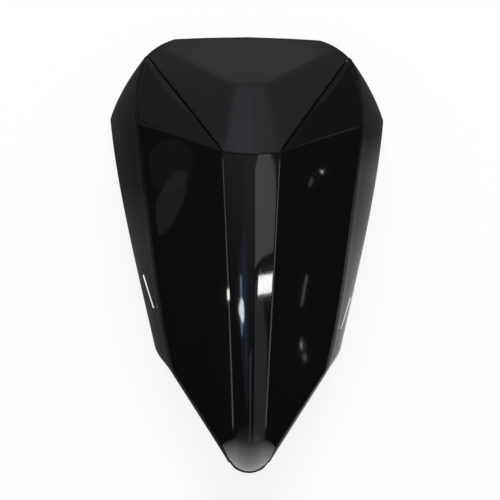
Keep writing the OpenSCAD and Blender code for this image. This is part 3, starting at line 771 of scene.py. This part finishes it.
def patchGroup():
    # a slow change over a surface between two values
    sockets = [("Scale", value, 12.0), ("Low", value, 0.3), ("High", value, 0.5)]
    g, gin, gout = group("slowPatches", sockets, [("Value", value)])
    coord = add(g, "ShaderNodeTexCoord")
    noise = add(g, "ShaderNodeTexNoise", Detail=2.0, Roughness=0.5)
    spread = add(g, "ShaderNodeMapRange")
    spread.inputs["From Min"].default_value = 0.3
    spread.inputs["From Max"].default_value = 0.7
    wire(g, (coord.outputs["Object"], noise.inputs["Vector"]),
         (gin.outputs["Scale"], noise.inputs["Scale"]),
         (noise.outputs["Fac"], spread.inputs["Value"]),
         (gin.outputs["Low"], spread.inputs["To Min"]),
         (gin.outputs["High"], spread.inputs["To Max"]),
         (spread.outputs["Result"], gout.inputs["Value"]))
    return g


def dustGroup():
    # sparse specks that lie on faces turned up
    g, gin, gout = group("fineDust", [("Scale", value, 2200.0), ("Amount", value, 0.06)], [("Mask", value)])
    coord = add(g, "ShaderNodeTexCoord")
    cells = add(g, "ShaderNodeTexVoronoi", feature="F1")
    close = add(g, "ShaderNodeMath", operation="LESS_THAN")
    geo = add(g, "ShaderNodeNewGeometry")
    part = add(g, "ShaderNodeSeparateXYZ")
    level = add(g, "ShaderNodeMath", operation="MULTIPLY", use_clamp=True)
    wire(g, (coord.outputs["Object"], cells.inputs["Vector"]),
         (gin.outputs["Scale"], cells.inputs["Scale"]),
         (cells.outputs["Distance"], close.inputs[0]),
         (gin.outputs["Amount"], close.inputs[1]),
         (geo.outputs["Normal"], part.inputs["Vector"]),
         (part.outputs["Z"], level.inputs[0]),
         (close.outputs[0], level.inputs[1]),
         (level.outputs[0], gout.inputs["Mask"]))
    return g


grain, patches, dust = grainGroup(), patchGroup(), dustGroup()


def useGroup(tree, g, **values):
    node = tree.nodes.new("ShaderNodeGroup")
    node.node_tree = g
    for key, level in values.items():
        node.inputs[key].default_value = level
    return node


# finishes: base and speck are colours, rough is a range; grain is scale, softness and bump strength;
# patch is a scale, dust is scale and amount
finishes = dict(
    gloss_shell=dict(base=(0.006, 0.006, 0.0068), speck=(0.03, 0.03, 0.032), rough=(0.035, 0.06), ior=1.47,
                     grain=(260.0, 0.2, 0.012), patch=9.0, dust=(1500.0, 0.035), metal=0.0),
    satin_pad=dict(base=(0.0145, 0.015, 0.017), speck=(0.03, 0.03, 0.032), rough=(0.40, 0.48), ior=1.47,
                   grain=(1900.0, 0.45, 0.10), patch=16.0, dust=(1700.0, 0.05), metal=0.0),
    bracket_steel=dict(base=(0.022, 0.022, 0.024), speck=(0.06, 0.06, 0.06), rough=(0.36, 0.5), ior=1.5,
                       grain=(900.0, 0.5, 0.12), patch=40.0, dust=(1300.0, 0.07), metal=0.0),
    striker_steel=dict(base=(0.56, 0.57, 0.59), speck=(0.42, 0.42, 0.43), rough=(0.18, 0.32), ior=1.5,
                       grain=(1600.0, 0.9, 0.05), patch=60.0, dust=(1500.0, 0.05), metal=1.0),
    zinc_steel=dict(base=(0.52, 0.54, 0.57), speck=(0.60, 0.59, 0.54), rough=(0.26, 0.42), ior=1.5,
                    grain=(1400.0, 0.7, 0.06), patch=160.0, dust=(1500.0, 0.05), metal=1.0),
    insert_brass=dict(base=(0.60, 0.43, 0.17), speck=(0.40, 0.27, 0.10), rough=(0.22, 0.38), ior=1.5,
                      grain=(1400.0, 0.7, 0.05), patch=120.0, dust=(1500.0, 0.05), metal=1.0),
    buffer_rubber=dict(base=(0.014, 0.014, 0.0145), speck=(0.05, 0.05, 0.05), rough=(0.58, 0.74), ior=1.5,
                       grain=(1100.0, 0.6, 0.2), patch=60.0, dust=(1200.0, 0.09), metal=0.0),
    seal_foam=dict(base=(0.030, 0.030, 0.032), speck=(0.06, 0.06, 0.062), rough=(0.85, 0.96), ior=1.4,
                   grain=(700.0, 0.25, 0.55), patch=50.0, dust=(900.0, 0.12), metal=0.0))


def makeFinish(name, f):
    mat = bpy.data.materials.new(name)
    mat.use_nodes = True
    tree = mat.node_tree
    shader = tree.nodes["Principled BSDF"]
    shader.inputs["IOR"].default_value = f["ior"]
    shader.inputs["Metallic"].default_value = f["metal"]
    fine = useGroup(tree, grain, Scale=f["grain"][0], Softness=f["grain"][1])
    slow = useGroup(tree, patches, Scale=f["patch"], Low=f["rough"][0], High=f["rough"][1])
    specks = useGroup(tree, dust, Scale=f["dust"][0], Amount=f["dust"][1])
    tint = add(tree, "ShaderNodeMix", data_type="RGBA")
    tint.inputs["A"].default_value = (*f["base"], 1)
    tint.inputs["B"].default_value = (*f["speck"], 1)
    bump = add(tree, "ShaderNodeBump", Strength=f["grain"][2], Distance=0.0002)
    wire(tree, (specks.outputs["Mask"], tint.inputs["Factor"]),
         (tint.outputs["Result"], shader.inputs["Base Color"]),
         (slow.outputs["Value"], shader.inputs["Roughness"]),
         (fine.outputs["Height"], bump.inputs["Height"]),
         (bump.outputs["Normal"], shader.inputs["Normal"]))
    return mat


materials = {name: makeFinish(name, f) for name, f in finishes.items()}
slots = {s["node"]: s["material_slot"] for s in frame["record"]["subparts"]}
for name, obj in nodes.items():
    obj.data.materials.clear()
    obj.data.materials.append(materials[slots[name]])
shellObj.data.materials.append(materials["gloss_shell"])
padObj.data.materials.append(materials["satin_pad"])
print("finishes placed")


# floor, world and lamps
studio = dict(
    # the floor's rear and front tones and its front and rear right glows are light and shade painted on the floor,
    # which only gloss pieces see
    floorSize=6.0, floorColour=0.26, floorGlow=0.855, rearPaintedLight=1.35, frontPaintedShade=0.53, toneFrom=0.0, toneTo=0.06,
    sideSlant=-0.2, sideFrom=0.05, sideTo=0.10, frontRightPaintedGlow=0.17, frontFrom=0.07, frontTo=0.11,
    rearRightPaintedGlow=0.26, rearFrom=-0.06, rearTo=0.02, ambient=0.43, white=1.25,
    room=((0.0, 0.05), (0.16, 0.05), (0.28, 0.05), (0.80, 0.06), (0.90, 0.22), (0.97, 0.42)))


def makeFloor():
    s = studio["floorSize"]
    floor = meshObject("floor", [vec(-s, -s, 0), vec(s, -s, 0), vec(s, s, 0), vec(-s, s, 0)], [(0, 1, 2, 3)], 1.0)
    mat = bpy.data.materials.new("pale_floor")
    mat.use_nodes = True
    tree = mat.node_tree
    shader = tree.nodes["Principled BSDF"]
    shader.inputs["Roughness"].default_value = 0.95
    shader.inputs["Specular IOR Level"].default_value = 0.1
    # the camera sees a plain pale ground; gloss pieces see painted light and shade on it: painted shade at the front,
    # painted light behind, and a painted glow on the right that stands in for lamplight there
    glow = add(tree, "ShaderNodeEmission")
    total = add(tree, "ShaderNodeAddShader")
    path = add(tree, "ShaderNodeLightPath")
    place = add(tree, "ShaderNodeTexCoord")
    part = add(tree, "ShaderNodeSeparateXYZ")
    mirror = add(tree, "ShaderNodeMath", operation="MAXIMUM")
    slant = add(tree, "ShaderNodeMath", operation="MULTIPLY_ADD")
    slant.inputs[1].default_value = studio["sideSlant"]
    along = add(tree, "ShaderNodeMath", operation="ADD")
    paintedGlow = add(tree, "ShaderNodeMath", operation="MULTIPLY")
    plain = add(tree, "ShaderNodeMath", operation="MULTIPLY")
    plain.inputs[1].default_value = studio["floorGlow"]
    seen = add(tree, "ShaderNodeMath", operation="MULTIPLY_ADD")
    tone = add(tree, "ShaderNodeMix", data_type="FLOAT")
    tone.inputs["A"].default_value = studio["floorColour"]

    def ranged(source, low, high, start, end, kind="LINEAR"):
        # a value that goes from start to end while the source goes from low to high
        node = add(tree, "ShaderNodeMapRange", interpolation_type=kind)
        for key, level in (("From Min", studio[low]), ("From Max", studio[high]), ("To Min", start), ("To Max", end)):
            node.inputs[key].default_value = level
        tree.links.new(source, node.inputs["Value"])
        return node.outputs["Result"]

    # painted light and shade for gloss rays: the floor's colour is brighter behind and dimmer in front, and a painted
    # glow is added on the right
    back, front = studio["floorColour"] * studio["rearPaintedLight"], studio["floorColour"] * studio["frontPaintedShade"]
    paintedFloorTone = ranged(part.outputs["Y"], "toneFrom", "toneTo", back, front)
    side = ranged(slant.outputs[0], "sideFrom", "sideTo", 0.0, 1.0, "SMOOTHSTEP")
    frontRight = ranged(part.outputs["Y"], "frontFrom", "frontTo", studio["frontRightPaintedGlow"], 0.0)
    rearRight = ranged(part.outputs["Y"], "rearFrom", "rearTo", studio["rearRightPaintedGlow"], 0.0)
    wire(tree, (place.outputs["Object"], part.inputs["Vector"]),
         (part.outputs["Y"], slant.inputs[0]),
         (part.outputs["X"], slant.inputs[2]),
         (frontRight, along.inputs[0]),
         (rearRight, along.inputs[1]),
         (path.outputs["Is Glossy Ray"], mirror.inputs[0]),
         (path.outputs["Is Transmission Ray"], mirror.inputs[1]),
         (mirror.outputs[0], tone.inputs["Factor"]),
         (paintedFloorTone, tone.inputs["B"]),
         (tone.outputs["Result"], shader.inputs["Base Color"]),
         (side, paintedGlow.inputs[0]),
         (along.outputs[0], paintedGlow.inputs[1]),
         (path.outputs["Is Camera Ray"], plain.inputs[0]),
         (mirror.outputs[0], seen.inputs[0]),
         (paintedGlow.outputs[0], seen.inputs[1]),
         (plain.outputs[0], seen.inputs[2]),
         (seen.outputs[0], glow.inputs["Strength"]),
         (shader.outputs[0], total.inputs[0]),
         (glow.outputs[0], total.inputs[1]),
         (total.outputs[0], tree.nodes["Material Output"].inputs["Surface"]))
    floor.data.materials.append(mat)


def makeWorld():
    # an even room; gloss pieces see it darker below and brighter overhead
    world = bpy.data.worlds.new("studio")
    bpy.context.scene.world = world
    world.use_nodes = True
    tree = world.node_tree
    tree.nodes.clear()
    out = add(tree, "ShaderNodeOutputWorld")
    room = add(tree, "ShaderNodeBackground")
    path = add(tree, "ShaderNodeLightPath")
    coord = add(tree, "ShaderNodeTexCoord")
    part = add(tree, "ShaderNodeSeparateXYZ")
    ramp = add(tree, "ShaderNodeValToRGB")
    stops = ramp.color_ramp.elements
    while len(stops) < len(studio["room"]):
        stops.new(0.5)
    for stop, (place, level) in zip(stops, studio["room"]):
        stop.position = place
        stop.color = (level, level, level, 1)
    pick = add(tree, "ShaderNodeMix", data_type="FLOAT")
    pick.inputs["A"].default_value = studio["ambient"]
    white = add(tree, "ShaderNodeMix", data_type="FLOAT")
    white.inputs["B"].default_value = studio["white"]  # what the camera sees, times the background's own 0.8
    wire(tree, (coord.outputs["Generated"], part.inputs["Vector"]),
         (part.outputs["Z"], ramp.inputs["Fac"]),
         (path.outputs["Is Glossy Ray"], pick.inputs["Factor"]),
         (ramp.outputs["Color"], pick.inputs["B"]),
         (pick.outputs["Result"], white.inputs["A"]),
         (path.outputs["Is Camera Ray"], white.inputs["Factor"]),
         (white.outputs["Result"], room.inputs["Strength"]),
         (room.outputs[0], out.inputs["Surface"]))


def toward(azimuth, elevation):
    a, e = math.radians(azimuth), math.radians(elevation)
    return Vector((math.sin(a) * math.cos(e), math.cos(a) * math.cos(e), math.sin(e)))


def lamp(name, start, end, wide, level, away=8.0, tint=(1, 1, 1), aim=(0, -0.03, 0.08), mirrored=True,
         shape="RECTANGLE"):
    # a soft panel that runs from one direction to another, each an angle from +Y towards +X and a height, as seen
    # from aim; it is so many degrees wide, and level is its own brightness. A mirrored one shows in gloss and lights
    # nothing, and the other kind lights and doesn't show
    a, b = toward(*start), toward(*end)
    centre = (a + b) / 2
    back = centre.normalized()
    across = (b - a - back * back.dot(b - a)).normalized()
    data = bpy.data.lights.new(name, "AREA")
    data.shape = shape
    data.size = (b - a).length * away
    data.size_y = 2 * away * math.tan(math.radians(wide / 2))
    data.energy = level * math.pi * data.size * data.size_y * (math.pi / 4 if shape == "ELLIPSE" else 1)
    data.color = tint
    obj = bpy.data.objects.new(name, data)
    bpy.context.scene.collection.objects.link(obj)
    turn = Matrix((across, back.cross(across), back)).transposed()
    obj.matrix_world = Matrix.Translation(Vector(aim) + centre * away) @ turn.to_4x4()
    obj.visible_camera = False
    obj.visible_glossy = mirrored
    obj.visible_diffuse = not mirrored


# the large front panel lights the pad; the others are what the gloss shell mirrors in the photo
panels = dict(
    front_panel=dict(start=(-20, 20), end=(26, 20), wide=28, level=4.4, mirrored=False),
    pad_panel=dict(start=(-13, 44), end=(7, 44), wide=17, level=3.3, tint=(0.80, 0.90, 1), aim=(0, 0.09, 0.1)),
    pad_front=dict(start=(-35, -16), end=(35, -16), wide=14, level=0.5, away=0.16, aim=(0, 0.165, 0.057)),
    wing_panel=dict(start=(-30, 5), end=(13, 5), wide=22, level=0.09, away=0.5, aim=(-0.075, 0.11, 0.075)),
    wing_line=dict(start=(28, 37), end=(50, 27), wide=30, level=0.4),
    spine_panel=dict(start=(97, 71), end=(131, 58.5), wide=12, level=1.15),
    spine_low=dict(start=(137, 58), end=(146, 37), wide=7, level=0.42),
    spine_blue=dict(start=(-133, 67), end=(-155, 45), wide=10, level=0.26, tint=(0.42, 0.52, 1), shape="ELLIPSE"),
    spine_blue_core=dict(start=(-136, 63), end=(-153, 48), wide=4, level=0.3, tint=(0.42, 0.52, 1), shape="ELLIPSE"),
    spine_end=dict(start=(-162, 48), end=(158, 48), wide=11, level=0.5, tint=(0.85, 0.93, 1)),
    window=dict(start=(136.4, 56.0), end=(127.3, 50.5), wide=2.75, level=26),
    small_lamp=dict(start=(-126, 46), end=(-131, 50.5), wide=1.4, level=24),
    streak=dict(start=(-137.3, 58.2), end=(-144.5, 51), wide=0.9, level=5, tint=(0.45, 0.62, 1)),
    streak_core=dict(start=(-141.4, 55.6), end=(-143.6, 52.6), wide=3.0, level=18,
                     tint=(0.85, 0.92, 1), shape="ELLIPSE"),
    left_upper=dict(start=(-85, 42), end=(-98, 43), wide=10, level=0.07, shape="ELLIPSE"),
    left_lower=dict(start=(-94, 45.5), end=(-105.5, 37.5), wide=5, level=0.20, shape="ELLIPSE"),
    rim_left=dict(start=(0, -71), end=(180, -71), wide=3.4, level=4, away=0.05, aim=(-0.11, -0.042, 0.048)),
    rim_left_dot=dict(start=(0, -88), end=(180, -88), wide=4, level=7, away=0.05, aim=(-0.1053, -0.0767, 0.048)),
    rim_right=dict(start=(0, -72), end=(180, -72), wide=3, level=1.5, away=0.05, aim=(0.0995, -0.06, 0.048)),
    glint_line=dict(start=(114.4, 38.7), end=(119.3, 37.5), wide=0.25, level=3, aim=(0.0455, -0.051, 0.0704)),
    glint_low=dict(start=(123.5, 34.9), end=(123.9, 34.4), wide=0.3, level=14, aim=(0.0432, -0.0956, 0.0546)),
    glint_lower=dict(start=(124.2, 33.4), end=(124.5, 33.1), wide=0.3, level=9, aim=(0.0468, -0.1051, 0.0493)),
    glint_high=dict(start=(93.3, 41.1), end=(93.8, 41.1), wide=0.35, level=22, aim=(0.0602, 0.0464, 0.0926)),
    glint_dash=dict(start=(95.7, 42.9), end=(97.7, 43.2), wide=0.2, level=3, aim=(0.05, 0.036, 0.0944)),
    edge_left=dict(start=(-94.5, 60), end=(-142, 37), wide=2.6, level=1.6),
    edge_right=dict(start=(94, 58), end=(140, 36), wide=2.6, level=1.8))


def makeCamera():
    aim = dict(elevation=76.2, lean=-1.9, distance=1.152, roll=-0.25, target=(0.0003, -0.0115, 0.050), film=36,
               lens=36 * 1328 / 500)
    a, b = math.radians(90 - aim["elevation"]), math.radians(aim["lean"])
    back = Vector((math.sin(b), -math.sin(a) * math.cos(b), math.cos(a) * math.cos(b))).normalized()
    up = Vector((0, 1, 0))
    up = (up - back * up.dot(back)).normalized()
    right = up.cross(back)
    turn = Matrix((right, up, back)).transposed()
    roll = Matrix.Rotation(math.radians(aim["roll"]), 3, "Z")
    data = bpy.data.cameras.new("camera")
    data.lens = aim["lens"]
    data.sensor_width = aim["film"]
    data.clip_end = 50
    obj = bpy.data.objects.new("camera", data)
    spot = Vector(aim["target"]) + back * aim["distance"]
    obj.matrix_world = Matrix.Translation(spot) @ (turn @ roll).to_4x4()
    bpy.context.scene.collection.objects.link(obj)
    bpy.context.scene.camera = obj


makeFloor()
makeWorld()
for name, values in panels.items():
    lamp(name, **values)
# the tail's bend mirrors a glow close behind it, built up by nested panels
tailGlow = dict(steps=20, top=68.0, low=-15.0, lowestTop=4.0, first=0.025, last=0.95, curve=1.8, firstSide=145,
                lastSide=122, away=0.06, aim=(0, -0.19, 0.022))
for k in range(tailGlow["steps"]):
    t = k / (tailGlow["steps"] - 1)
    top = mix(tailGlow["top"], tailGlow["lowestTop"], t)
    middle = (top + tailGlow["low"]) / 2
    side = mix(tailGlow["firstSide"], tailGlow["lastSide"], min(1, 2 * t))
    level = mix(tailGlow["first"], tailGlow["last"], t ** tailGlow["curve"])
    lamp(f"tail_glow_{k}", (side, middle), (-side, middle), top - tailGlow["low"], level,
         away=tailGlow["away"], aim=tailGlow["aim"])
makeCamera()
bpy.context.scene.view_settings.view_transform = "Standard"
print("studio ready")
